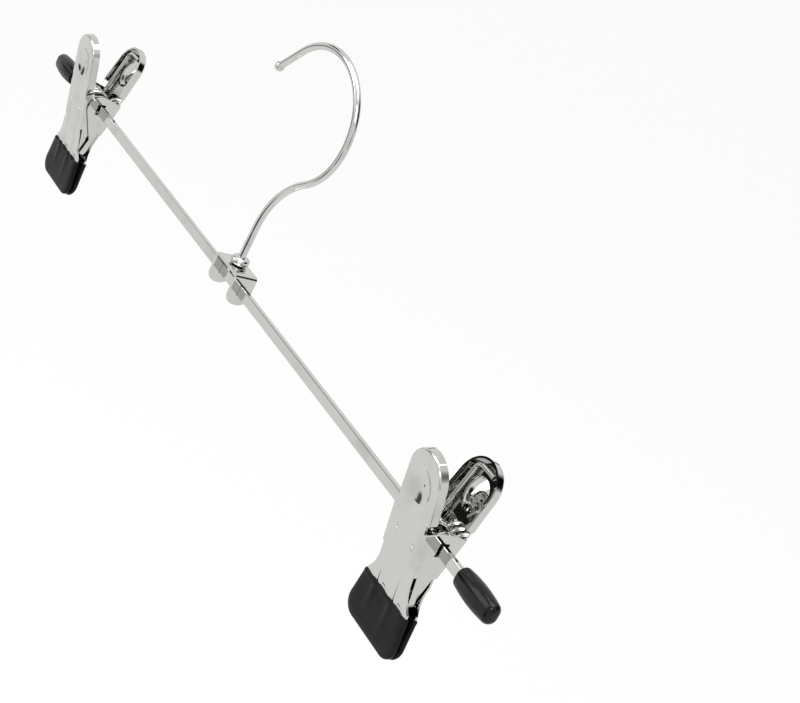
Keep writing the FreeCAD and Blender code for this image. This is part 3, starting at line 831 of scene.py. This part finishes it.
@dataclass
class Studio:
    """White room with soft lamps, a pale floor and dark flags that only polished metal mirrors.

    The flags give the chrome its dark streaks: the small ones stand close to the finger dishes,
    and the large ones far off, round the hook and the bar.
    """

    target: Vector
    lowest: float
    floor_drop: float = 0.30
    floor_size: float = 40.0
    floor_colour: str = "#f2f2f0"
    white: str = "#ffffff"
    flag_core: float = 0.45
    room_light: float = 0.75
    floor_glow: float = 0.88
    lamps: tuple[Lamp, ...] = (
        Lamp("overhead_softbox", (0.1, -0.15, 0.9), 0.9, 0.7, 7.0),
        Lamp("front_softbox", (-0.4, -0.9, 0.35), 0.5, 0.8, 2.5),
        Lamp("end_softbox", (0.85, -0.55, 0.60), 0.4, 0.4, 3.5),
    )
    flags: tuple[Flag, ...] = (
        Flag("near_dish_flag", (0.012, -0.10, -0.105), 0.11, 0.056, "#5c5d5e"),
        Flag("far_dish_flag", (-0.244, -0.075, -0.091), 0.07, 0.042, "#5c5d5e"),
        Flag("front_left_flag", (-0.44, -0.55, -0.13), 0.42, 0.30, "#1c1d1e"),
        Flag("upper_left_flag", (-0.68, -0.34, 0.42), 0.55, 0.34),
        Flag("rear_low_flag", (-0.63, 0.60, 0.06), 1.4, 0.16),
        Flag("right_end_flag", (0.90, 0.10, -0.04), 0.34, 0.55),
        Flag("low_front_flag", (0.25, -0.52, -0.30), 0.40, 0.30, "#3c3d3e"),
        Flag("rear_right_flag", (0.43, 0.57, 0.36), 1.20, 0.80),
        Flag("low_left_flag", (-0.50, 0.14, -0.34), 0.44, 0.34, "#4a4b4c"),
    )

    @staticmethod
    def seen(tree: bpy.types.NodeTree) -> bpy.types.NodeSocket:
        """Share that is 1 for what the camera, mirrors and glass see.

        Args:
            tree: Tree that asks.

        Returns:
            Output socket with the share.
        """
        ray = add_node(tree, "ShaderNodeLightPath").outputs
        direct = add_node(tree, "ShaderNodeMath", {
            0: ray["Is Camera Ray"], 1: ray["Is Glossy Ray"]}, operation="MAXIMUM")
        return add_node(tree, "ShaderNodeMath", {
            0: direct.outputs[0], 1: ray["Is Transmission Ray"]}, operation="MAXIMUM").outputs[0]

    @staticmethod
    def panel(spec: Panel, material: bpy.types.Material) -> bpy.types.Object:
        """Make one flat panel.

        Args:
            spec: Its place and size.
            material: Its surface.

        Returns:
            Stage object.
        """
        wide, high = spec.width / 2, spec.height / 2
        mesh = bpy.data.meshes.new(spec.name)
        mesh.from_pydata([(-wide, -high, 0), (wide, -high, 0), (wide, high, 0), (-wide, high, 0)],
                         [], [(0, 1, 2, 3)])
        mesh.materials.append(material)
        obj = bpy.data.objects.new(spec.name, mesh)
        bpy.context.scene.collection.objects.link(obj)
        obj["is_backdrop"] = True
        return obj

    def build_room(self) -> None:
        """Make the world: white to the eye and to mirrors, soft light to the rest."""
        world = bpy.data.worlds.new("white_room")
        world.use_nodes = True
        tree = world.node_tree
        tree.nodes.clear()
        soft = add_node(tree, "ShaderNodeBackground", {
            "Color": linear(self.white), "Strength": self.room_light})
        white = add_node(tree, "ShaderNodeBackground", {
            "Color": linear(self.white), "Strength": 1.0})
        both = add_node(tree, "ShaderNodeMixShader", {
            0: self.seen(tree), 1: soft.outputs[0], 2: white.outputs[0]})
        add_node(tree, "ShaderNodeOutputWorld", {"Surface": both.outputs[0]})
        bpy.context.scene.world = world

    def build_floor(self) -> None:
        """Make the pale floor, which keeps a share of the shadow."""
        material, tree = new_material("pale_floor")
        matt = add_node(tree, "ShaderNodeBsdfDiffuse", {"Color": linear(self.floor_colour)})
        glow = add_node(tree, "ShaderNodeEmission", {
            "Color": linear(self.white), "Strength": 1.0})
        share = add_node(tree, "ShaderNodeMath", {
            0: self.seen(tree), 1: self.floor_glow}, operation="MULTIPLY")
        both = add_node(tree, "ShaderNodeMixShader", {
            0: share.outputs[0], 1: matt.outputs[0], 2: glow.outputs[0]})
        add_node(tree, "ShaderNodeOutputMaterial", {"Surface": both.outputs[0]})
        floor = self.panel(Panel("floor", (0, 0, 0), self.floor_size, self.floor_size), material)
        floor.location = (0, 0, self.lowest - self.floor_drop)

    def flag_surface(self, spec: Flag) -> bpy.types.Material:
        """Make a flag's surface: matt in the middle and clear towards the edge.

        Args:
            spec: Its size and shade.

        Returns:
            Material of that flag.
        """
        material, tree = new_material(spec.name)
        centred = add_node(tree, "ShaderNodeMapping", {
            "Vector": add_node(tree, "ShaderNodeTexCoord").outputs["Object"],
            "Scale": (2 / spec.width, 2 / spec.height, 0)})
        reach = add_node(tree, "ShaderNodeVectorMath", {
            0: centred.outputs["Vector"]}, operation="LENGTH")
        share = add_node(tree, "ShaderNodeMapRange", {
            "Value": reach.outputs["Value"], "From Min": self.flag_core, "From Max": 1.0,
            "To Min": 1.0, "To Max": 0.0}, interpolation_type="SMOOTHSTEP")
        clear = add_node(tree, "ShaderNodeBsdfTransparent")
        matt = add_node(tree, "ShaderNodeBsdfDiffuse", {"Color": linear(spec.shade)})
        both = add_node(tree, "ShaderNodeMixShader", {
            0: share.outputs["Result"], 1: clear.outputs[0], 2: matt.outputs[0]})
        add_node(tree, "ShaderNodeOutputMaterial", {"Surface": both.outputs[0]})
        return material

    def build_flags(self) -> None:
        """Make the dark flags, which show in polished metal and nowhere else."""
        for spec in self.flags:
            flag = self.panel(spec, self.flag_surface(spec))
            flag.matrix_world = spec.matrix(self.target)
            flag.visible_camera = False
            flag.visible_diffuse = False
            flag.visible_shadow = False
            flag.visible_transmission = False

    def build_lamps(self) -> None:
        """Make the soft lamps."""
        for spec in self.lamps:
            data = bpy.data.lights.new(spec.name, "AREA")
            data.shape = "RECTANGLE"
            data.size, data.size_y = spec.width, spec.height
            data.energy = spec.power
            lamp = bpy.data.objects.new(spec.name, data)
            lamp.matrix_world = spec.matrix(self.target)
            bpy.context.scene.collection.objects.link(lamp)

    def build(self) -> None:
        """Make the whole studio."""
        bpy.context.scene.view_settings.view_transform = "Standard"
        self.build_room()
        self.build_floor()
        self.build_flags()
        self.build_lamps()


def main() -> None:
    """Build the hanger's looks from the hook down, then the studio round it."""
    logging.basicConfig(level=logging.INFO, format="%(name)s: %(message)s")
    for obj in list(bpy.data.objects):
        bpy.data.objects.remove(obj)
    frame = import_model()
    cad_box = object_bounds()
    nodes = frame["nodes"]
    pivots = {joint["name"]: Vector(joint["pos_m"])
              for joint in frame["joints"] if "pos_m" in joint}
    chrome = ChromePlate().material()
    vinyl = DippedVinyl().material()
    caps = MouldedVinyl().material()
    HangerFrame(nodes).build(chrome, caps)
    wire = WireTree()
    for end in End:
        SpringClip(end, nodes, pivots[f"{end.value}_front_pinch"], wire).build(chrome, vinyl)
    low, high = cad_box
    Studio((low + high) / 2, low.z).build()
    PhotoCamera().build()


if __name__ == "__main__":
    main()
